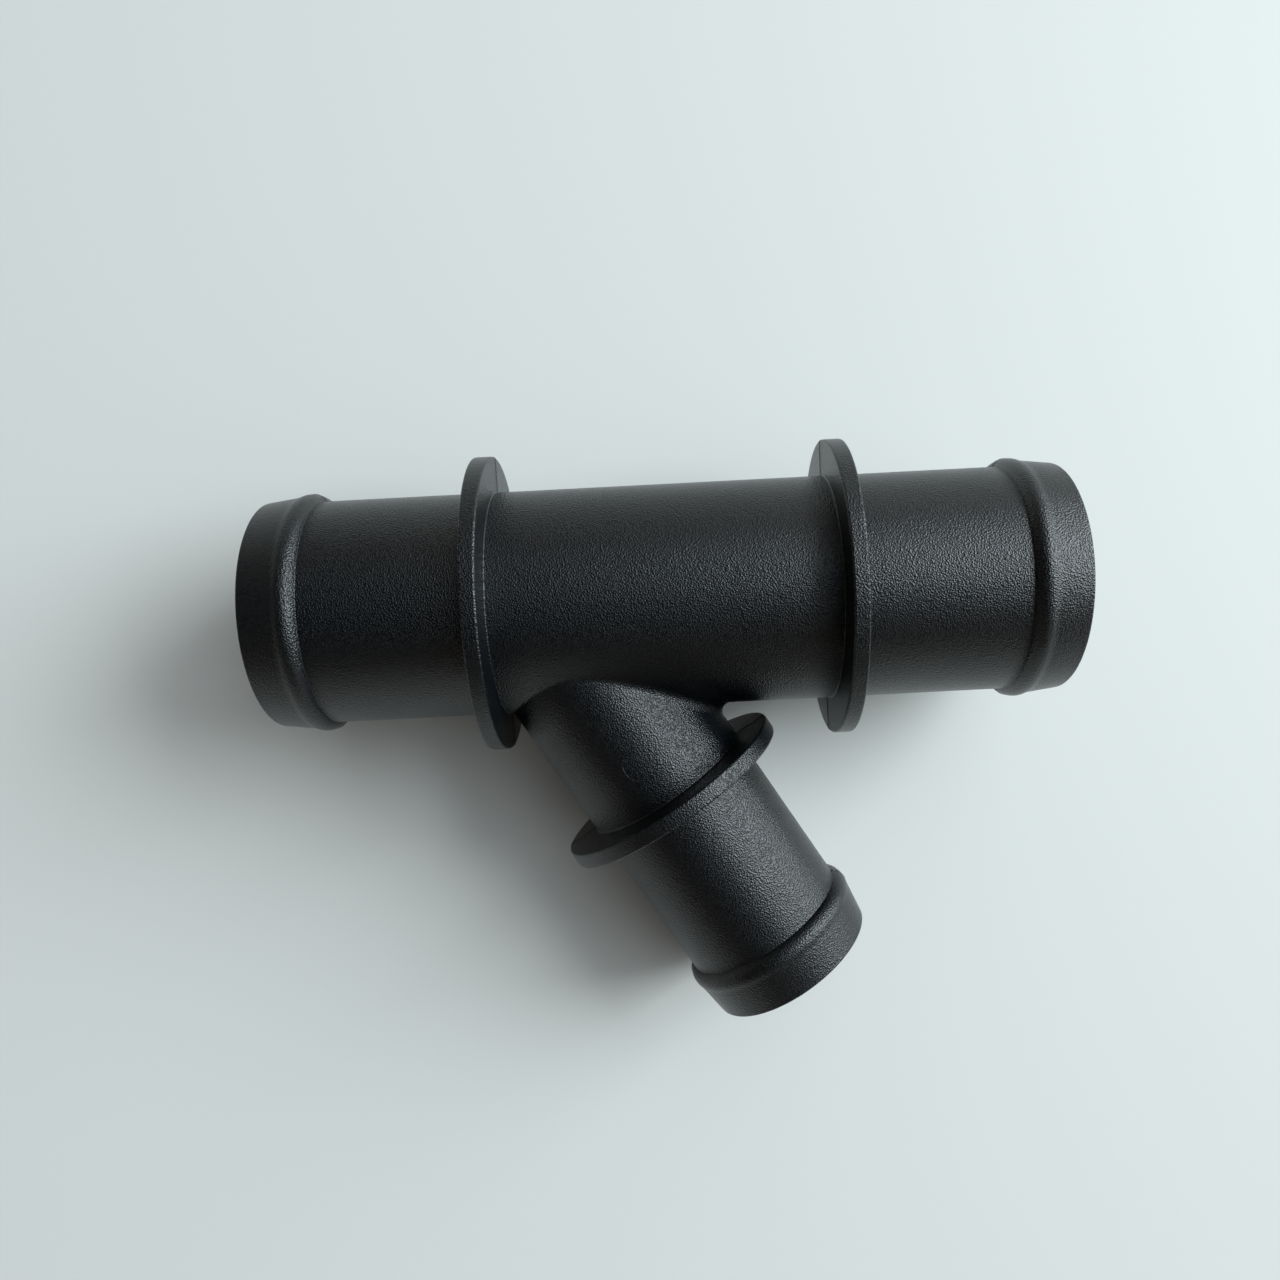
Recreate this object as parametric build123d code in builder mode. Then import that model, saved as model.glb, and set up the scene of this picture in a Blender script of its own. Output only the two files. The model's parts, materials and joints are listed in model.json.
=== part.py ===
"""Y connector for two sizes of hose, moulded in one piece in glass-filled nylon.

A straight run takes the larger hose on both ends, and a smaller branch leaves it
at a slant. Each of the three spigots has a retaining bead near its tip and a
collar at its root, where the pushed-on hose stops.

The two halves of the mould meet in the plane that holds both axes. The collars
are thickest in that plane and thinner away from it, so that they leave the mould.
The part is drawn as it lies on a table: on its three collars, turned a little
about the run, because the branch's collar is smaller than the run's.

Origin: where the two axes cross. +X: along the run. +Z: up from the table.
"""

from build123d import *
import os
from math import cos, hypot, radians, sin, sqrt, tan

# Run: the straight tube, with a spigot at each end
run_diameter = 32.0
run_bore = 27.0
run_spigot_length = 29.8
run_collar_diameter = 42.2
left_collar_to_branch = 5.25
branch_to_right_collar = 41.3

# Branch: the slanted tube, with one spigot
branch_angle = 58.4
branch_diameter = 25.0
branch_bore = 20.0
branch_spigot_length = 30.7
branch_collar_diameter = 35.0
branch_to_its_collar = 32.3
saddle_radius = 1.5

# Collars, where the hoses stop
collar_thickness = 2.6
collar_draft = 0.6

# Retaining bead and lead-in cone, near the tip of each spigot
bead_height = 1.15
bead_radius = 1.9
bead_to_tip = 6.0
bead_blend_radius = 3.0
run_cone_height = 0.95
run_tip_height = 0.2
branch_cone_height = 1.05
branch_tip_height = 0.35
tip_edge_chamfer = 0.3


def resting_tilt():
    """Turn about the run, in degrees, that sets the branch's collar on the table too.

    The lowest rim of the branch's collar is on its outer face. At a turn t it lies
    drop * sin(t) + radius * sqrt(1 - (lean * sin(t))**2) below the run's axis, and
    the run's collars reach their own radius below it. The turn is found by halving.
    """
    lean = sin(radians(branch_angle))
    drop = (branch_to_its_collar + collar_thickness) * lean
    low = 0.0
    high = 45.0
    for halving in range(40):
        middle = (low + high) / 2
        turn = sin(radians(middle))
        reach = drop * turn + branch_collar_diameter / 2 * sqrt(1 - (lean * turn) ** 2)
        if reach < run_collar_diameter / 2:
            low = middle
        else:
            high = middle
    return low


# Both frames lie in the parting plane, with X along their own tube
rest_tilt = resting_tilt()
pull_direction = (0, -sin(radians(rest_tilt)), cos(radians(rest_tilt)))
run_frame = Plane(origin=(0, 0, 0), x_dir=(1, 0, 0), z_dir=pull_direction)
branch_direction = run_frame.from_local_coords(
    (cos(radians(branch_angle)), -sin(radians(branch_angle)), 0)
)
branch_frame = Plane(origin=run_frame.origin, x_dir=branch_direction, z_dir=pull_direction)

# Places along the two tubes, counted from where their axes cross
left_collar_outside = -left_collar_to_branch - collar_thickness
left_tip = left_collar_outside - run_spigot_length
right_tip = branch_to_right_collar + collar_thickness + run_spigot_length
branch_tip = branch_to_its_collar + collar_thickness + branch_spigot_length


def cone_start(bead_x, tip_x, tube_radius, cone_height, tip_height):
    """Point where the lead-in cone leaves the bead's circle.

    The cone's line starts cone_height above the tube, under the bead's top, and ends
    tip_height above it at the tip. The circle is met a short travel along that line.
    """
    length = hypot(tip_x - bead_x, tip_height - cone_height)
    step_x = (tip_x - bead_x) / length
    step_y = (tip_height - cone_height) / length
    above_centre = cone_height - bead_height + bead_radius
    travel = sqrt(bead_radius**2 - (above_centre * step_x) ** 2) - above_centre * step_y
    return (bead_x + travel * step_x, tube_radius + cone_height + travel * step_y)


def spigot_section(frame, tip_x, tube_radius, cone_height, tip_height):
    """Half section of a tube from the crossing of the axes to the tip of its spigot."""
    outward = 1 if tip_x > 0 else -1
    bead_x = tip_x - outward * bead_to_tip
    half_chord = sqrt(bead_radius**2 - (bead_radius - bead_height) ** 2)
    bead_foot = (bead_x - outward * half_chord, tube_radius)
    bead_top = (bead_x, tube_radius + bead_height)
    bead_end = cone_start(bead_x, tip_x, tube_radius, cone_height, tip_height)
    tip_edge = (tip_x, tube_radius + tip_height)
    with BuildSketch(frame) as section:
        with BuildLine():
            Polyline((0, 0), (0, tube_radius), bead_foot)
            ThreePointArc(bead_foot, bead_top, bead_end)
            Polyline(bead_end, tip_edge, (tip_x, 0), (0, 0))
        make_face()
        fillet(section.vertices().sort_by_distance(bead_end)[0], bead_blend_radius)
        chamfer(section.vertices().sort_by_distance(tip_edge)[0], tip_edge_chamfer)
    return section.sketch


def collar(frame, near_x, diameter):
    """Collar around a frame's X axis, drafted both ways from the parting plane.

    A prism with the drafted side view is cut round, and its rims are left crisp.
    """
    radius = diameter / 2
    half_thickness = collar_thickness / 2
    rim_half_thickness = half_thickness - radius * tan(radians(collar_draft))
    middle = frame.from_local_coords((near_x + half_thickness, 0, 0))
    side_view = Plane(origin=middle, x_dir=frame.x_dir, z_dir=-frame.y_dir)
    end_view = Plane(origin=middle, x_dir=frame.y_dir, z_dir=frame.x_dir)
    with BuildPart() as disc:
        with BuildSketch(side_view):
            with BuildLine():
                Polyline(
                    (-half_thickness, 0),
                    (-rim_half_thickness, radius),
                    (rim_half_thickness, radius),
                    (half_thickness, 0),
                    (rim_half_thickness, -radius),
                    (-rim_half_thickness, -radius),
                    close=True,
                )
            make_face()
        extrude(amount=radius, both=True)
        with BuildSketch(end_view):
            Circle(radius)
        extrude(amount=half_thickness, both=True, mode=Mode.INTERSECT)
    return disc.part


run_axis = Axis(run_frame.origin, run_frame.x_dir)
branch_axis = Axis(branch_frame.origin, branch_frame.x_dir)
run_radius = run_diameter / 2
branch_radius = branch_diameter / 2
run_ends = [
    spigot_section(run_frame, left_tip, run_radius, run_cone_height, run_tip_height),
    spigot_section(run_frame, right_tip, run_radius, run_cone_height, run_tip_height),
]
branch_end = spigot_section(
    branch_frame, branch_tip, branch_radius, branch_cone_height, branch_tip_height
)
collars = [
    collar(run_frame, left_collar_outside, run_collar_diameter),
    collar(run_frame, branch_to_right_collar, run_collar_diameter),
    collar(branch_frame, branch_to_its_collar, branch_collar_diameter),
]

with BuildPart() as y_connector:
    # Tubes, with the saddle where the branch meets the run
    revolve(run_ends, axis=run_axis)
    revolve(branch_end, axis=branch_axis)
    saddle_edges = y_connector.edges().filter_by(GeomType.BSPLINE)
    fillet(saddle_edges, saddle_radius)
    add(collars)

    # Run bore, from mouth to mouth
    run_mouth = run_frame.from_local_coords((left_tip, 0, 0))
    with BuildSketch(Plane(origin=run_mouth, z_dir=run_frame.x_dir)):
        Circle(run_bore / 2)
    extrude(amount=right_tip - left_tip, mode=Mode.SUBTRACT)

    # Branch bore, which opens into the run bore
    with BuildSketch(Plane(origin=branch_frame.origin, z_dir=branch_frame.x_dir)):
        Circle(branch_bore / 2)
    extrude(amount=branch_tip, mode=Mode.SUBTRACT)

y_connector.part.label = "y_connector"
os.makedirs("parts", exist_ok=True)
export_step(y_connector.part, "parts/y_connector.step")
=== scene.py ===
# %% [markdown]
# # A hose Y connector in black glass-filled nylon
#
# The part is one moulding: a straight tube called the run, a thinner branch that
# leaves it at a slant, and on each open end a spigot for a hose. A spigot has a cone
# to start the hose, a bead to hold it, and a collar where the hose stops.
#
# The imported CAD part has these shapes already, but its small roundings are missing
# and its round faces are cut into flat ones. This lesson works out one closed skin
# with numpy, rounds every edge as the mould does, and gives it a grained black nylon.
# The skin then stands in for the CAD part.

import json
from math import asin, atan2, cos, degrees, pi, radians, sin, sqrt, tan

import bmesh
import bpy
import numpy as np
from mathutils import Matrix, Vector


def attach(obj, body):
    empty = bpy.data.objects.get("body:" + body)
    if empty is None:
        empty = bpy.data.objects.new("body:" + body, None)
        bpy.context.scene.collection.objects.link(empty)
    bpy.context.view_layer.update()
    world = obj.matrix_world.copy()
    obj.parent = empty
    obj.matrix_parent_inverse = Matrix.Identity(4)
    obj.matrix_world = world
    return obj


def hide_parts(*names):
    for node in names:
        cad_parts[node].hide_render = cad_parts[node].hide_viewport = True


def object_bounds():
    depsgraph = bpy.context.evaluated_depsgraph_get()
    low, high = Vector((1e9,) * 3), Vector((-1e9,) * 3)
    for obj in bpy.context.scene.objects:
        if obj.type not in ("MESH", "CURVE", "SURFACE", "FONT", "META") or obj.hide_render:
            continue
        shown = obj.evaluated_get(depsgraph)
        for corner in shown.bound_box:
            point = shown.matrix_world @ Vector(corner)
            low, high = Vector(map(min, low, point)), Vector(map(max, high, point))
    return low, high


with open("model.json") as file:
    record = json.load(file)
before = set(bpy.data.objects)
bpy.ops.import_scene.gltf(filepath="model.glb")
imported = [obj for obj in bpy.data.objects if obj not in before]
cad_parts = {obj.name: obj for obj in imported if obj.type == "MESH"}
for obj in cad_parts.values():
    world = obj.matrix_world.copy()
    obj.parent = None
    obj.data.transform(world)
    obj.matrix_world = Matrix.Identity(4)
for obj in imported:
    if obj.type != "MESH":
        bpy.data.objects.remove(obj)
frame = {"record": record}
cad_box = [list(corner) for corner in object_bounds()]
print("CAD box, mm:", [[round(1000 * value, 2) for value in corner] for corner in cad_box])

# %% [markdown]
# ## Sizes
#
# The two halves of the mould meet in the plane that holds both tubes' axes, so the
# shapes are simplest in the mould's own frame: X along the run, Y in the parting
# plane, Z the way the mould opens, and the origin where the axes cross. Millimetres
# suit such a part. The finished skin is then turned by the small angle at which the
# part rests on a table, and brought to metres.
#
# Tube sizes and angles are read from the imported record, so they can't drift from it.

# %% Sizes from the record, in millimetres
mounts = {mount["name"]: mount for mount in frame["record"]["mounts"]}
branch_axis = Vector(mounts["branch_spigot"]["axis"])
run_radius = mounts["near_run_spigot"]["dims"]["r_mm"]
run_bore_radius = mounts["run_bore"]["dims"]["r_mm"]
branch_radius = mounts["branch_spigot"]["dims"]["r_mm"]
branch_bore_radius = mounts["branch_bore"]["dims"]["r_mm"]
left_tip = 1000 * cad_box[0][0]
right_tip = 1000 * cad_box[1][0]
branch_slant = branch_axis.angle(Vector((1, 0, 0)))
rest_tilt = atan2(-branch_axis.z, -branch_axis.y)
print(f"the branch leaves at {degrees(branch_slant):.1f} degrees")
print(f"the part rests tilted by {degrees(rest_tilt):.2f} degrees")

# %% [markdown]
# The record holds the sizes that a hose meets. The rest are the part's own: its
# collars, its beads, and the small roundings of its edges. Two lines are left by the
# mould, where its halves meet and round its ejector pin. On a real part they stand a
# few hundredths of a millimetre proud, and they are drawn a little bolder to show.

# %% Sizes of the moulded details, in millimetres
run_spigot_length = 29.8
branch_tip = 65.6
branch_spigot_length = 30.7
run_collar_radius = 21.1
branch_collar_radius = 17.5
collar_thickness = 2.6
collar_draft = radians(0.6)
collar_rim_round = 0.3
collar_root_round = 0.2

bead_height = 1.15
bead_radius = 1.9
bead_to_tip = 6.0
bead_blend_radius = 3.0
bead_foot_round = 0.12
run_cone_heights = (0.2, 0.95)
branch_cone_heights = (0.35, 1.05)
tip_edge_round = 0.3
mouth_edge_round = 0.25

saddle_radius = 1.5
saddle_radius_at_collar = 0.25

parting_line_height = 0.06
parting_line_half_width = 0.1
ejector_pin_radius = 2.45
ejector_pin_along_branch = 25.9
ejector_line_height = 0.05
ejector_line_half_width = 0.08
print(f"the run's collars are {2 * run_collar_radius:.1f} mm wide")
print(f"the branch's collar is {2 * branch_collar_radius:.1f} mm wide")

# %% [markdown]
# ## A half section for a spigot
#
# Turned parts are easiest as a half section carried round an axis. The section is a
# chain of straight lines whose corners are rounded, because a mould has no perfectly
# sharp edge and the thin line of light on such an edge is what makes it look real.
#
# Smooth shading bends light across a long flat face if it touches a small rounding.
# A holding point close to each end of a rounding keeps the flat faces flat. A Bevel
# modifier could round the edges too, but here each corner names its own rounding.

# %% Round the corners of a chain of lines
holding_gap = 0.03


def rounded_chain(corners, steps=4):
    """Chain of points whose corners are replaced by arcs.

    A corner is (x, r, rounding). The arc touches both lines at rounding / tan(half
    the corner's angle) from the corner, and its points turn evenly about the centre,
    which lies on the line that halves the corner. A rounding of 0 keeps the point.
    """
    points = np.array([corner[:2] for corner in corners], float)
    chain = [points[0]]
    for index in range(1, len(corners) - 1):
        rounding = corners[index][2]
        corner = points[index]
        if rounding == 0:
            chain.append(corner)
            continue
        back = points[index - 1] - corner
        ahead = points[index + 1] - corner
        back = back / np.hypot(*back)
        ahead = ahead / np.hypot(*ahead)
        half_angle = 0.5 * np.arccos(np.clip(back @ ahead, -1, 1))
        reach = rounding / tan(half_angle)
        middle = (back + ahead) / np.hypot(*(back + ahead))
        centre = corner + middle * rounding / sin(half_angle)
        start = corner + back * reach - centre
        end = corner + ahead * reach - centre
        sweep = pi - 2 * half_angle
        turn = np.linspace(0, 1, steps + 1)[:, None]
        arc = (start * np.sin((1 - turn) * sweep) + end * np.sin(turn * sweep)) / sin(sweep)
        chain.append(corner + back * (reach + holding_gap))
        chain.extend(centre + arc)
        chain.append(corner + ahead * (reach + holding_gap))
    chain.append(points[-1])
    return np.array(chain)


right_angle = rounded_chain([(0, 0, 0), (1, 0, collar_rim_round), (1, 1, 0)])
print(f"a rounded corner has {len(right_angle) - 2} points")

# %% [markdown]
# The bead's top is a circle, and a wide hollow blends it into the cone. The centre
# of that hollow is the point that lies one hollow radius above the cone's line and
# both radii away from the bead's centre.

# %% Outline of a spigot, from its mouth to its bead's foot
bore_lead = 1.5
tube_lead = 1.0
hollow_points = 7
bead_points = 15


def spigot_outline(tube_radius, bore_radius, cone_heights):
    """Rounded half section of a spigot, as (distance from the tip, radius) points.

    It runs over the mouth's edge, the tip, the cone, the hollow, the bead's circle and
    the bead's foot, and ends a little way along the plain tube.
    """
    tip_height, cone_height = cone_heights
    tip = np.array([0.0, tube_radius + tip_height])
    bead = np.array([bead_to_tip, tube_radius + bead_height - bead_radius])
    slope = np.array([bead_to_tip, cone_height - tip_height])
    slope = slope / np.hypot(*slope)
    upward = np.array([-slope[1], slope[0]])

    above = (tip - bead) @ upward + bead_blend_radius
    along = sqrt((bead_radius + bead_blend_radius) ** 2 - above**2)
    hollow = bead + above * upward - along * slope
    start = atan2(*(-upward)[::-1])
    end = atan2(*(bead - hollow)[::-1])
    turn = np.linspace(start, end, hollow_points)
    hollow_arc = hollow + bead_blend_radius * np.stack([np.cos(turn), np.sin(turn)], axis=1)

    foot_angle = asin((bead_radius - bead_height) / bead_radius)
    start = atan2(*(hollow - bead)[::-1])
    turn = np.linspace(start, foot_angle, bead_points)[1:]
    bead_arc = bead + bead_radius * np.stack([np.cos(turn), np.sin(turn)], axis=1)

    corners = [(bore_lead, bore_radius, 0), (0, bore_radius, mouth_edge_round)]
    corners += [(*tip, tip_edge_round)]
    corners += [(*point, 0) for point in hollow_arc]
    corners += [(*point, 0) for point in bead_arc[:-1]]
    corners += [(*bead_arc[-1], bead_foot_round), (bead_arc[-1][0] + tube_lead, tube_radius, 0)]
    return rounded_chain(corners)


run_spigot = spigot_outline(run_radius, run_bore_radius, run_cone_heights)
branch_spigot = spigot_outline(branch_radius, branch_bore_radius, branch_cone_heights)
print(f"a spigot's outline has {len(run_spigot)} points")

# %% [markdown]
# A collar is a plain ring with rounded rims. Its roots are rounded too, because a sharp
# inner corner would crack.

# %% Outline of a collar, across its own middle
def collar_outline(tube_radius, collar_radius):
    """Rounded half section of a collar, as (distance from its middle, radius) points."""
    half = collar_thickness / 2
    return rounded_chain(
        [
            (-half - tube_lead, tube_radius, 0),
            (-half, tube_radius, collar_root_round),
            (-half, collar_radius, collar_rim_round),
            (half, collar_radius, collar_rim_round),
            (half, tube_radius, collar_root_round),
            (half + tube_lead, tube_radius, 0),
        ]
    )[1:-1]


print(f"a collar's outline has {len(collar_outline(run_radius, run_collar_radius))} points")

# %% [markdown]
# ## Collars with draft, and the parting line
#
# The mould opens along Z, so a collar is thickest in the parting plane and thinner
# away from it. Without that the moulding would scrape and stick. Carrying the section
# round the axis gives a plain collar; then each face is moved in by its height over
# the parting plane times the tangent of the draft angle.
#
# Where the halves of the mould meet, they leave a hair-thin raised line. The columns
# that lie in the parting plane are lifted off the surface, and two more columns stand
# close on each side of them, so that the line stays thin.
#
# Numbers that are worked out differ by a hair from what they should be, so a sine
# counts as none below one limit, and a radius as equal within another.

# %% Carry a section round an axis
in_the_plane = 1e-6
same_radius = 0.01


def parting_lift(angle):
    """Height of the parting line: full where the angle is 0 or half a turn, else none."""
    return parting_line_height * (np.abs(np.sin(angle)) < in_the_plane)


def lathe(outline, angles, collar_middle):
    """Grid of (along, radius, angle): a row for each outline point, a column for each angle.

    Points of the collar move towards its middle by |radius * sin(angle)| * tan(draft).
    The parting line is lifted square to the outline, whose heading at a point is that
    from the point before to the point after. A core pin makes the mouth, so the line
    starts past the tip's edge.
    """
    along, angle = np.meshgrid(outline[:, 0], angles, indexing="ij")
    from_middle = along - collar_middle
    on_collar = np.abs(from_middle) < collar_thickness / 2 + collar_root_round + 1.5 * holding_gap
    draft = np.abs(outline[:, 1:] * np.sin(angle)) * tan(collar_draft)

    from_body = np.abs(outline[:, 0] - outline[-1, 0])
    from_tip = from_body.max() - from_body
    outside = (outline[:, 1] > outline[-1, 1] - same_radius) & (from_tip > tip_edge_round)
    heading = np.gradient(outline, axis=0)
    heading = heading / np.hypot(*heading.T)[:, None]
    towards_body = np.sign(outline[-1, 0] - outline[0, 0])
    lift = parting_lift(angle) * outside[:, None] * towards_body
    return np.stack(
        [
            along - np.sign(from_middle) * draft * on_collar - lift * heading[:, 1:],
            outline[:, 1:] + lift * heading[:, :1],
            angle,
        ],
        axis=-1,
    )


def on_run(grid):
    """Points from (x, radius, angle) about the run; angle 0 is the side of the branch."""
    x, radius, angle = np.moveaxis(grid, -1, 0)
    return np.stack([x, -radius * np.cos(angle), radius * np.sin(angle)], axis=-1)


branch_along = np.array([cos(branch_slant), -sin(branch_slant), 0.0])
branch_across = np.array([-sin(branch_slant), -cos(branch_slant), 0.0])
mould_opening = np.array([0.0, 0.0, 1.0])


def on_branch(grid):
    """Points from (distance from the crossing, radius, angle) about the branch.

    Angle 0 is the side that faces the near collar of the run.
    """
    along, radius, angle = (part[..., None] for part in np.moveaxis(grid, -1, 0))
    radial = np.cos(angle) * branch_across + np.sin(angle) * mould_opening
    return along * branch_along + radius * radial


print(f"draft moves a collar's face in by {run_collar_radius * tan(collar_draft):.2f} mm at most")

# %% [markdown]
# ## The saddle
#
# Where two tubes cross, the mould has a small rounding that follows the crossing. It
# is the path of a ball that rolls along touching both tubes. The ball's centre stays
# one ball radius outside both, so it runs on the crossing of two bigger tubes, and it
# touches each tube at the point nearest to that centre.
#
# Beside the near collar there is no room for the full ball, so it gets smaller there. A
# Boolean and a Bevel could make this rounding too, but their faces would be uneven, and
# the light has to flow over this one.

# %% Where the ball touches the two tubes
def ball_contacts(angles):
    """Centres, contact points on the run and on the branch, and distances along the branch.

    With the ball's radius b, the centre is at distance s along the branch and branch
    radius + b from its axis. It is run radius + b from the run's axis, so the square of
    its y is that sum's square less the square of its z, which gives s.
    """
    near_collar = 0.5 + 0.5 * np.cos(angles)
    ball = saddle_radius + (saddle_radius_at_collar - saddle_radius) * near_collar**3
    away = branch_radius + ball
    y = -np.sqrt((run_radius + ball) ** 2 - (away * np.sin(angles)) ** 2)
    along = (y - away * np.cos(angles) * branch_across[1]) / branch_along[1]
    centre = on_branch(np.stack([along, away, angles], axis=-1))
    shrink = run_radius / (run_radius + ball)
    on_run_tube = centre * np.stack([np.ones_like(ball), shrink, shrink], axis=-1)
    on_branch_tube = on_branch(np.stack([along, np.full_like(along, branch_radius), angles], axis=-1))
    return centre, on_run_tube, on_branch_tube, along


def bore_crossing(angles):
    """Distances along the branch at which its bore enters the run's bore.

    There y is minus the root of the run bore radius squared less z squared.
    """
    y = -np.sqrt(run_bore_radius**2 - (branch_bore_radius * np.sin(angles)) ** 2)
    return (y - branch_bore_radius * np.cos(angles) * branch_across[1]) / branch_along[1]


quarter_turns = np.array([0, pi / 2, pi])
for contact in ball_contacts(quarter_turns)[1]:
    print("the ball touches the run at", [round(float(value), 1) for value in contact])

# %% [markdown]
# ## A tube with a hole in its side
#
# The run's body is a tube with an oval hole where the branch starts. Unrolled, it is a
# rectangle with a hole. The half that faces the branch is filled with lines from the
# hole to the rectangle's edge. Each line leaves the hole at the same bearing, seen
# from the hole's middle, as its point on the edge, so no two lines cross.

# %% Match a hole to a rectangle
quarter_steps = 40
quarter = np.linspace(0, pi / 2, quarter_steps + 1)[1:]
beside_line = parting_line_half_width / run_radius * np.array([1, 1.5])
off_line = np.concatenate([beside_line, quarter])
half_turn = np.concatenate([-off_line[::-1], [0], off_line])
angles = np.concatenate([half_turn, half_turn[1:] + pi])
angle_steps = len(angles) - 1
half_steps = angle_steps // 2


def loop_round(left, right, steps_along):
    """Points (x, angle) round the branch's half of a tube, from its two end rows.

    The loop goes up the left end, along the top, down the right end and back.
    """
    share = np.linspace(0, 1, steps_along + 1)[:-1, None]
    top = left[half_steps] + share * (right[half_steps] - left[half_steps])
    bottom = right[0] + share * (left[0] - right[0])
    return np.concatenate([left[:half_steps], top, right[half_steps:0:-1], bottom])


def bearing(points, middle, radius):
    """Bearing from the hole's middle, measured on the unrolled tube, rising along the loop."""
    turned = np.arctan2(points[:, 1] * radius, points[:, 0] - middle)
    return np.unwrap(-turned)


def matched_angles(loop, hole, hole_angles, middle, radius):
    """Branch angles at which the hole has the same bearings as the loop's points."""
    from_hole = bearing(hole, middle, radius)
    from_loop = bearing(loop, middle, radius)
    whole_turns = np.round((from_hole[0] - from_loop[0]) / (2 * pi))
    wanted = from_loop + 2 * pi * whole_turns
    three_turns = np.concatenate([hole_angles[:-1] + turn * 2 * pi for turn in (-1, 0, 1)])
    three_bearings = np.concatenate([from_hole[:-1] + turn * 2 * pi for turn in (-1, 0, 1)])
    return np.interp(wanted, three_bearings, three_turns)


def unrolled(points):
    """(x, angle) of points on a tube about the run."""
    return np.stack([points[:, 0], np.arctan2(points[:, 2], -points[:, 1])], axis=1)


print(f"{angle_steps} columns go round the run")

# %% [markdown]
# ## The outside of the run
#
# Both ends of the run are the same spigot and collar, mirrored, so one function makes
# them. It runs from the mouth to the end of the collar's root on the body.

# %% Run ends
plain_steps = 13


def end_outline(spigot, tip, tube_radius, collar_radius, spigot_length, inward):
    """A spigot's and its collar's outlines placed along an axis, from the mouth inward."""
    collar_middle = tip + inward * (spigot_length + collar_thickness / 2)
    collar = collar_outline(tube_radius, collar_radius)
    collar = collar * (inward, 1) + (collar_middle, 0)
    placed = spigot * (inward, 1) + (tip, 0)
    plain_start = placed[-1]
    plain = np.linspace(plain_start, (collar[0][0], tube_radius), plain_steps + 1)[1:-1]
    return np.concatenate([placed, plain, collar]), collar_middle


near_outline, near_collar = end_outline(
    run_spigot, left_tip, run_radius, run_collar_radius, run_spigot_length, 1
)
far_outline, far_collar = end_outline(
    run_spigot, right_tip, run_radius, run_collar_radius, run_spigot_length, -1
)
near_end = lathe(near_outline, angles, near_collar)
far_end = lathe(far_outline, angles, far_collar)
body_left = near_end[-1][:, [0, 2]]
body_right = far_end[-1][:, [0, 2]]
print(f"the body runs from {body_left[:, 0].max():.2f} to {body_right[:, 0].min():.2f} mm")

# %% [markdown]
# The body lies between the two ends. Its back half is a plain grid. Its front half is
# the ring of lines about the hole, whose outer loop is shared with the back half and
# with both ends.

# %% Fill the body round the hole
body_steps = 40
ring_steps = 16
fine_steps = 2880


def ruled(first, last, radius, steps):
    """Grid of (along, radius, angle) at one radius, between two rows of (along, angle).

    A row at a share t between them is first + t * (last - first).
    """
    share = np.linspace(0, 1, steps + 1)[:, None, None]
    flat = first + share * (last - first)
    return np.stack([flat[..., 0], np.full(flat.shape[:2], radius), flat[..., 1]], axis=-1)


def closed(grid):
    """The grid with its first column again at its end."""
    return np.concatenate([grid, grid[:, :1]], axis=1)


def with_parting_line(grid, rows=slice(None)):
    """The same grid with its parting line lifted in some of its rows."""
    lifted = grid.copy()
    lifted[rows, :, 1] += parting_lift(grid[rows, :, 2])
    return lifted


fine_angles = np.linspace(0, 2 * pi, fine_steps + 1)
saddle_middle = run_radius / tan(branch_slant)
body_loop = loop_round(body_left, body_right, body_steps)
saddle_hole = unrolled(ball_contacts(fine_angles)[1])
saddle_angles = matched_angles(body_loop, saddle_hole, fine_angles, saddle_middle, run_radius)
saddle_centre, saddle_on_run, saddle_on_branch, saddle_along = ball_contacts(saddle_angles)
body_ring = closed(ruled(unrolled(saddle_on_run), body_loop, run_radius, ring_steps))
body_ring = with_parting_line(body_ring, slice(1, None))
body_back = ruled(body_left[half_steps:], body_right[half_steps:], run_radius, body_steps)
body_back = with_parting_line(body_back)
widest_step = degrees(np.abs(np.diff(saddle_angles)).max())
print(f"the saddle has {len(saddle_angles)} points, at most {widest_step:.1f} degrees apart")

# %% [markdown]
# The ball's path is then a strip between its two lines of contact. Each column of the
# strip is an arc of the ball, so the light runs over it without a kink.

# %% Roll the ball round the saddle
def saddle_strip(centre, first, last, steps=7):
    """Grid over the ball's arcs.

    At a share t, the directions to the two contacts are mixed by sin((1 - t) * a) and
    sin(t * a) over sin(a), with a the angle between them.
    """
    start = first - centre
    end = last - centre
    size = np.linalg.norm(start, axis=1) * np.linalg.norm(end, axis=1)
    angle = np.arccos(np.sum(start * end, axis=1) / size)[None, :, None]
    share = np.linspace(0, 1, steps + 1)[:, None, None]
    arc = (np.sin((1 - share) * angle) * start + np.sin(share * angle) * end) / np.sin(angle)
    return centre[None] + arc


saddle = closed(saddle_strip(saddle_centre, saddle_on_run, saddle_on_branch))
saddle_width = np.linalg.norm(saddle_on_run - saddle_on_branch, axis=1)
print(f"the saddle is {saddle_width.min():.2f} to {saddle_width.max():.2f} mm wide")

# %% [markdown]
# ## The branch
#
# The branch is turned like the run's ends, but its columns keep the saddle's angles,
# and its plain part starts on the saddle's curved edge.

# %% Branch from the saddle to its mouth
neck_steps = 15
branch_outline, branch_collar = end_outline(
    branch_spigot, branch_tip, branch_radius, branch_collar_radius, branch_spigot_length, -1
)
branch_end = lathe(branch_outline, saddle_angles, branch_collar)
saddle_edge = np.stack([saddle_along, saddle_angles], axis=1)
branch_neck = ruled(branch_end[-1][:, [0, 2]], saddle_edge, branch_radius, neck_steps)
branch_neck = with_parting_line(branch_neck, slice(None, -1))
shortest_neck = branch_neck[0, :, 0].min() - saddle_along.max()
print(f"the branch's plain neck is {shortest_neck:.2f} mm long where it is shortest")

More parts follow.
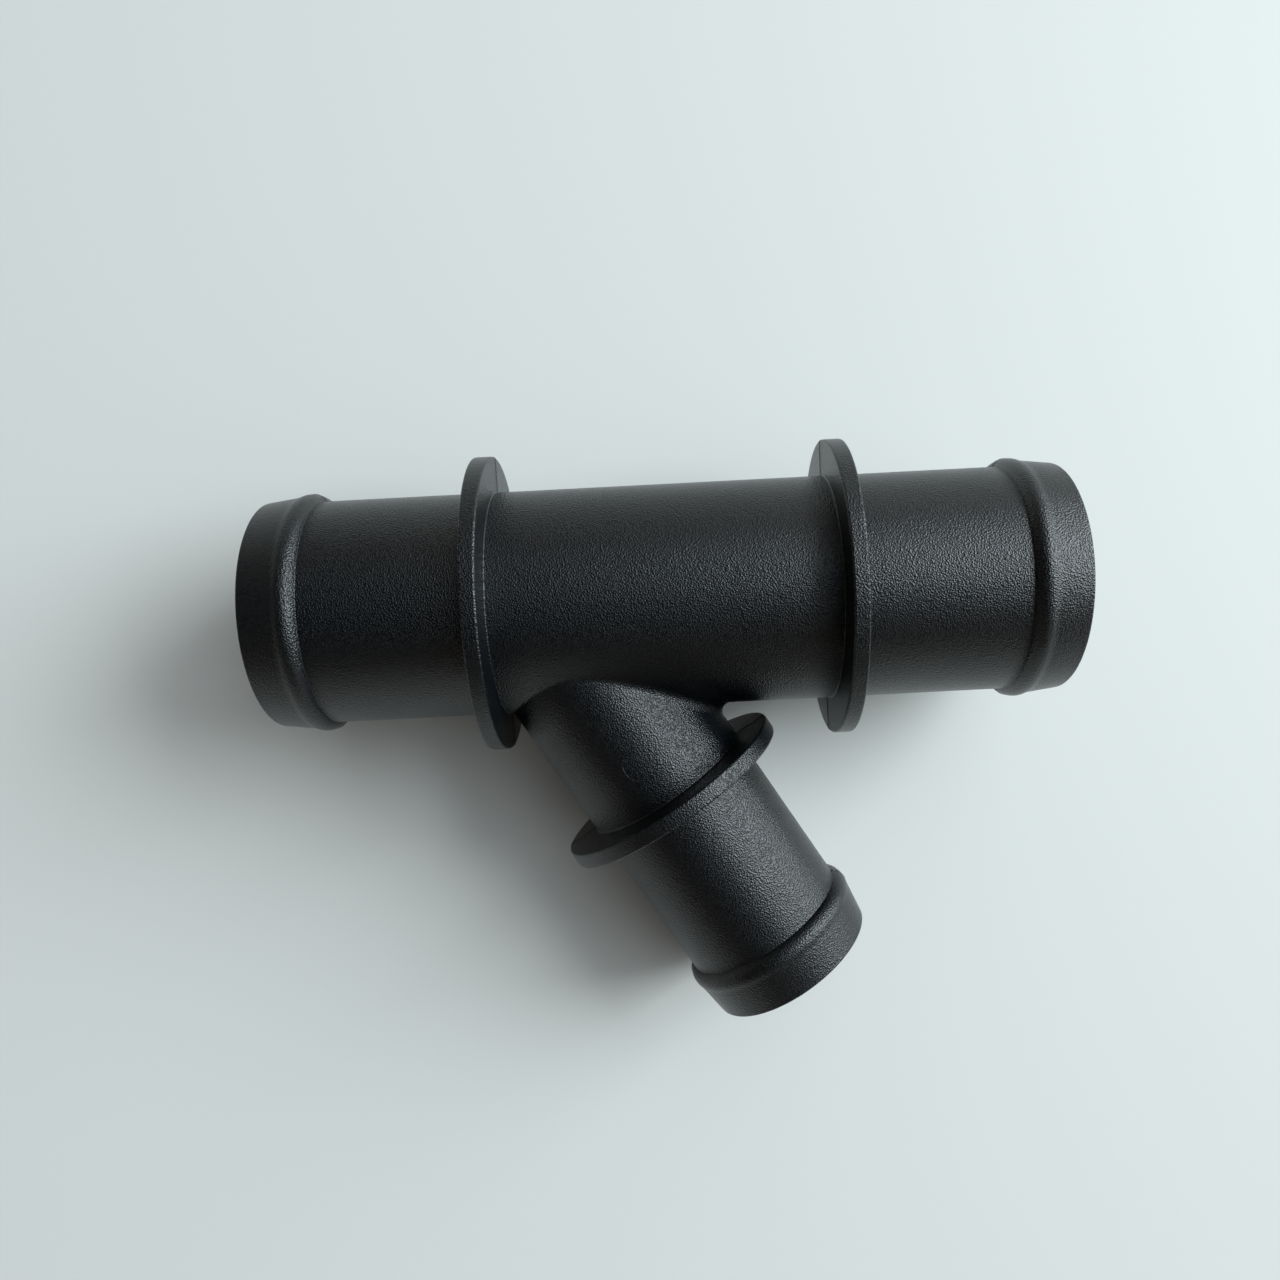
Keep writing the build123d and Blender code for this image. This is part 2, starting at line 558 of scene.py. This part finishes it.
# %% [markdown]
# ## The bores
#
# Core pins leave two plain bores. They can't be seen from above, but the part is looked
# at from every side, so they are made with the same functions as the body. A stretch of
# the run bore holds the hole, and a plain tube leads from each mouth to it.

# %% Run bore and branch bore
bore_steps = 26
bore_body_start = -11.0
bore_body_end = 28.0
bore_left = np.stack([np.full_like(angles, bore_body_start), angles], axis=1)
bore_right = np.stack([np.full_like(angles, bore_body_end), angles], axis=1)
bore_loop = loop_round(bore_left, bore_right, body_steps)
bore_middle = run_bore_radius / tan(branch_slant)


def bore_edge(edge_angles):
    """Points where the branch bore enters the run bore."""
    along = bore_crossing(edge_angles)
    radius = np.full_like(along, branch_bore_radius)
    return on_branch(np.stack([along, radius, edge_angles], axis=-1))


bore_hole = unrolled(bore_edge(fine_angles))
edge_angles = matched_angles(bore_loop, bore_hole, fine_angles, bore_middle, run_bore_radius)
edge_row = np.stack([bore_crossing(edge_angles), edge_angles], axis=1)
mouth_rows = [end[0][:, [0, 2]] for end in (near_end, far_end, branch_end)]
bore_ring = closed(
    ruled(unrolled(bore_edge(edge_angles)), bore_loop, run_bore_radius, ring_steps)
)
bore_back = ruled(bore_left[half_steps:], bore_right[half_steps:], run_bore_radius, body_steps)
near_bore = ruled(mouth_rows[0], bore_left, run_bore_radius, bore_steps)
far_bore = ruled(bore_right, mouth_rows[1], run_bore_radius, bore_steps)
branch_bore = ruled(mouth_rows[2], edge_row, branch_bore_radius, bore_steps)
print(f"the bores meet {edge_row[:, 0].min():.1f} to {edge_row[:, 0].max():.1f} mm along the branch")

# %% [markdown]
# ## One closed skin
#
# Every patch is a grid of points, and neighbours share the points of their edges. The
# patches go into one mesh, doubles are merged, and the faces are turned outwards. A
# skin that is closed has two faces at every edge, so that is counted.

# %% Join the patches
merge_distance = 2e-7
patches = [on_run(grid) for grid in (near_end, far_end, body_back, body_ring, bore_back)]
patches += [on_run(grid) for grid in (bore_ring, near_bore, far_bore)]
patches += [on_branch(closed(grid)) for grid in (branch_end, branch_neck, branch_bore)]
patches += [saddle]


def grid_faces(rows, columns, first):
    """Quads of a grid whose points are numbered row by row from first."""
    corner = first + np.arange(rows * columns).reshape(rows, columns)
    return np.stack(
        [corner[:-1, :-1], corner[1:, :-1], corner[1:, 1:], corner[:-1, 1:]], axis=-1
    ).reshape(-1, 4)


def skin_mesh(name, grids):
    """Mesh of all the grids, in metres, turned about X to lie as the part rests."""
    points = np.concatenate([grid.reshape(-1, 3) for grid in grids])
    starts = np.cumsum([0] + [grid.shape[0] * grid.shape[1] for grid in grids])
    faces = np.concatenate(
        [grid_faces(*grid.shape[:2], start) for grid, start in zip(grids, starts)]
    )
    turn = np.array(Matrix.Rotation(rest_tilt, 3, "X"))
    mesh = bpy.data.meshes.new(name)
    mesh.from_pydata((points @ turn.T / 1000).tolist(), [], faces.tolist())
    work = bmesh.new()
    work.from_mesh(mesh)
    bmesh.ops.remove_doubles(work, verts=work.verts, dist=merge_distance)
    bmesh.ops.recalc_face_normals(work, faces=work.faces)
    open_edges = sum(len(edge.link_faces) != 2 for edge in work.edges)
    cubic_cm = 1e6 * work.calc_volume(signed=True)
    print(f"{name}: {len(work.faces)} faces, {open_edges} open edges, {cubic_cm:.2f} cubic cm")
    work.to_mesh(mesh)
    work.free()
    mesh.shade_smooth()
    return mesh


connector = bpy.data.objects.new("connector_skin", skin_mesh("connector_skin", patches))
bpy.context.scene.collection.objects.link(connector)

# %% [markdown]
# ## The ejector's mark
#
# A round pin pushes the moulding out of the mould. It ends level with the branch's
# neck, and the gap round it leaves a thin raised ring there. The ring is as fine as
# the parting line, so it is a piece of its own: a small section carried round a circle
# and laid on the neck.

# %% Ring left by the ejector pin
def ejector_ring(turns=120, steps=10):
    """Closed grid of a ridge round a circle on the branch's neck.

    Seen from above, a point is pin radius + half width * cos(section angle) from the
    circle's middle. Its height is the root of the branch radius squared less its
    distance from the branch's axis squared, plus line height * sin(section angle).
    """
    turn, section = np.meshgrid(
        np.linspace(0, 2 * pi, turns + 1), np.linspace(0, 2 * pi, steps + 1), indexing="ij"
    )
    reach = ejector_pin_radius + ejector_line_half_width * np.cos(section)
    across = (reach * np.sin(turn))[..., None]
    along = ejector_pin_along_branch + (reach * np.cos(turn))[..., None]
    height = np.sqrt(branch_radius**2 - across**2)
    height = height + ejector_line_height * np.sin(section)[..., None]
    return along * branch_along + across * branch_across + height * mould_opening


ejector_mark = bpy.data.objects.new("ejector_mark", skin_mesh("ejector_mark", [ejector_ring()]))
bpy.context.scene.collection.objects.link(ejector_mark)

# %% [markdown]
# The parting line has a sharp crest. The only other sharp corner is inside, where the
# branch bore breaks into the run bore, because two core pins meet there. Smooth shading
# would smear light across both, so edges steeper than 35 degrees are marked sharp.

# %% Mark the sharp edges
sharp_from = radians(35)
connector.data.set_sharp_from_angle(angle=sharp_from)
sharp = connector.data.attributes["sharp_edge"].data
sharp_marks = np.zeros(len(sharp), bool)
sharp.foreach_get("value", sharp_marks)
print(f"{sharp_marks.sum()} sharp edges")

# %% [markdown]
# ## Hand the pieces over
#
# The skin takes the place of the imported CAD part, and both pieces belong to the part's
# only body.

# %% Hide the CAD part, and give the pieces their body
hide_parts("y_connector")
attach(connector, "root")
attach(ejector_mark, "root")
print("pieces:", connector.name, ejector_mark.name)

# %% [markdown]
# ## Black glass-filled nylon
#
# Nylon 6 with 30% glass fibre and carbon black is a deep, slightly cool black. The
# mould was spark-eroded, so the surface is covered with tiny craters. Each crater
# tips the light a little, which spreads the gloss into a soft, grainy sheen.

# %% Helpers for a material
def linear(hex_colour):
    """Linear colour from sRGB hex: c / 12.92 if it is dark, else ((c + 0.055) / 1.055) ** 2.4."""
    channels = [int(hex_colour[start : start + 2], 16) / 255 for start in (1, 3, 5)]
    return [c / 12.92 if c <= 0.04045 else ((c + 0.055) / 1.055) ** 2.4 for c in channels] + [1.0]


def add_node(tree, kind, inputs=None, **settings):
    """Adds a node, sets its settings, and gives its inputs values or other nodes' outputs."""
    node = tree.nodes.new(kind)
    for name, value in settings.items():
        setattr(node, name, value)
    for name, value in (inputs or {}).items():
        if isinstance(value, bpy.types.NodeSocket):
            tree.links.new(value, node.inputs[name])
        else:
            node.inputs[name].default_value = value
    return node


def empty_material(name):
    """A material with no nodes but its output."""
    material = bpy.data.materials.new(name)
    material.use_nodes = True
    material.node_tree.nodes.clear()
    return material, add_node(material.node_tree, "ShaderNodeOutputMaterial")


print("carbon black in linear colour:", [round(value, 4) for value in linear("#03070b")[:3]])

# %% [markdown]
# Craters lie side by side like the cells of a foam, and each is deepest in its middle.
# That is what a Voronoi pattern's distance gives: none in the middle of a cell, most at
# its edge. Real craters are about 0.1 mm wide, too fine to show from here, so they are
# drawn 0.23 mm wide, and as much deeper as the sheen needs. A bump holds them, since a
# mesh that fine would be far too heavy. Between its craters the nylon is fairly glossy.

# %% Moulded nylon
millimetre = 0.001
crater_width = 0.23 * millimetre
crater_depth = 0.075 * millimetre
nylon, nylon_output = empty_material("glass-filled nylon, spark-eroded mould")
nylon_tree = nylon.node_tree
place = add_node(nylon_tree, "ShaderNodeTexCoord").outputs["Object"]
craters = add_node(nylon_tree, "ShaderNodeTexVoronoi", {"Vector": place, "Scale": 1 / crater_width})
relief = add_node(
    nylon_tree,
    "ShaderNodeBump",
    {"Height": craters.outputs["Distance"], "Strength": 1.0, "Distance": crater_depth},
)
nylon_shader = add_node(
    nylon_tree,
    "ShaderNodeBsdfPrincipled",
    {
        "Base Color": linear("#03070b"),
        "Roughness": 0.29,
        "IOR": 1.53,
        "Normal": relief.outputs["Normal"],
    },
)
nylon_tree.links.new(nylon_shader.outputs["BSDF"], nylon_output.inputs["Surface"])
for piece in (connector, ejector_mark):
    piece.data.materials.append(nylon)
print(f"{nylon.name}: craters {crater_width / millimetre:.2f} mm wide")

# %% [markdown]
# ## Table, light and camera
#
# The part lies on a table of plain pale laminate, which is matt, so it takes a soft
# shadow and shows no reflection of the part.

# %% Table
table_half_width = 3.0
table_height = cad_box[0][2]
table_corners = [
    (table_half_width * x, table_half_width * y, table_height)
    for x, y in ((-1, -1), (1, -1), (1, 1), (-1, 1))
]
table_mesh = bpy.data.meshes.new("table_top")
table_mesh.from_pydata(table_corners, [], [(0, 1, 2, 3)])
table_top = bpy.data.objects.new("table_top", table_mesh)
bpy.context.scene.collection.objects.link(table_top)
table_paint, table_output = empty_material("matt white laminate")
table_shader = add_node(
    table_paint.node_tree,
    "ShaderNodeBsdfPrincipled",
    {"Base Color": linear("#e1e1de"), "Roughness": 0.7},
)
table_paint.node_tree.links.new(table_shader.outputs["BSDF"], table_output.inputs["Surface"])
table_mesh.materials.append(table_paint)
print(f"the table is {-1000 * table_height:.1f} mm below the run's axis")

# %% [markdown]
# One large soft window stands to the right of the part. Black nylon shows almost only
# reflections, so the window has to be wide, or its light would lie on the tubes as a
# thin hard streak.

# %% Window light
window_distance = 1.2
window_width = 0.8
window_watts = 16.4


def direction(azimuth, elevation):
    """Unit vector at an azimuth from +X towards +Y and an elevation above the table."""
    flat = cos(radians(elevation))
    return Vector((flat * cos(radians(azimuth)), flat * sin(radians(azimuth)), sin(radians(elevation))))


middle = Vector((0.02, -0.01, 0.0))
window = bpy.data.lights.new("window", "AREA")
window.shape = "SQUARE"
window.size = window_width
window.energy = window_watts
window.color = linear("#ecf9fd")[:3]
window_holder = bpy.data.objects.new("window", window)
window_holder.location = middle + window_distance * direction(18, 33)
facing = middle - window_holder.location
window_holder.rotation_euler = facing.to_track_quat("-Z", "Y").to_euler()
bpy.context.scene.collection.objects.link(window_holder)
print(f"the window is {window_width:.2f} m wide and {window_holder.location.z:.2f} m up")

# %% [markdown]
# The room gives two more lights. Daylight glows round the window and fades with the
# angle from its middle, which softens the shadows' edges. The walls give back a weak,
# warm light from low down on every side. Only the edge of the glow comes from above, so
# the nylon keeps its dark parts. The camera sees a plain pale backdrop instead.

# %% Daylight and walls
daylight_strength = 1.45
walls_strength = 0.22
backdrop_strength = 0.85
room = bpy.data.worlds.new("room")
bpy.context.scene.world = room
room.use_nodes = True
room_tree = room.node_tree
room_tree.nodes.clear()
sky = add_node(room_tree, "ShaderNodeTexCoord").outputs["Generated"]
nearness = add_node(
    room_tree, "ShaderNodeVectorMath", {0: sky, 1: direction(24, 40)}, operation="DOT_PRODUCT"
).outputs["Value"]
glow = add_node(
    room_tree,
    "ShaderNodeMapRange",
    {
        "Value": nearness,
        "From Min": 0.5,
        "From Max": 0.95,
        "To Min": 0.0,
        "To Max": daylight_strength,
    },
).outputs["Result"]
height = add_node(room_tree, "ShaderNodeSeparateXYZ", {"Vector": sky}).outputs["Z"]
low_glow = add_node(
    room_tree,
    "ShaderNodeMapRange",
    {"Value": height, "From Min": 0.4, "From Max": 0.7, "To Min": walls_strength, "To Max": 0.0},
).outputs["Result"]
daylight, walls, backdrop = [
    add_node(
        room_tree, "ShaderNodeBackground", {"Color": linear(colour), "Strength": strength}
    ).outputs["Background"]
    for colour, strength in (
        ("#edf9ff", glow),
        ("#ffefdc", low_glow),
        ("#dfe6e7", backdrop_strength),
    )
]
lit_room = add_node(room_tree, "ShaderNodeAddShader", {0: daylight, 1: walls}).outputs["Shader"]
seen = add_node(room_tree, "ShaderNodeLightPath").outputs["Is Camera Ray"]
both = add_node(room_tree, "ShaderNodeMixShader", {0: seen, 1: lit_room, 2: backdrop})
add_node(room_tree, "ShaderNodeOutputWorld", {"Surface": both.outputs["Shader"]})
print(f"the room's light is made of {len(room_tree.nodes)} nodes")

# %% [markdown]
# The camera is close, about 140 mm above the part, so the tubes' ends and the collars
# lean away from the middle of the view. Its place and turns are given in the mould's
# frame, so it is turned with the part by the rest's tilt.

# %% Camera
camera_place = Vector((17.803, 7.720, 140.316)) * millimetre
camera_turns = (("Z", -2.939), ("Y", -0.04), ("X", -6.571))
camera_data = bpy.data.cameras.new("camera")
camera_data.sensor_width = 36.0
camera_data.lens = 27.03
camera_data.shift_x = -0.0163
camera_data.shift_y = 0.0103
camera_data.clip_start = 0.01
camera = bpy.data.objects.new("camera", camera_data)
camera_frame = Matrix.Rotation(rest_tilt, 4, "X") @ Matrix.Translation(camera_place)
for axis, turn in camera_turns:
    camera_frame = camera_frame @ Matrix.Rotation(radians(turn), 4, axis)
camera.matrix_world = camera_frame
bpy.context.scene.collection.objects.link(camera)
bpy.context.scene.camera = camera
bpy.context.scene.view_settings.view_transform = "Standard"
print("camera, mm:", [round(1000 * value, 1) for value in camera.matrix_world.translation])

# %% [markdown]
# Last, the scene is brought up to date. The box round the finished pieces may differ from the CAD
# part's by the parting line's height and by the flats of the CAD part's round faces.

# %% Bring the scene up to date, and finish
bpy.context.view_layer.update()
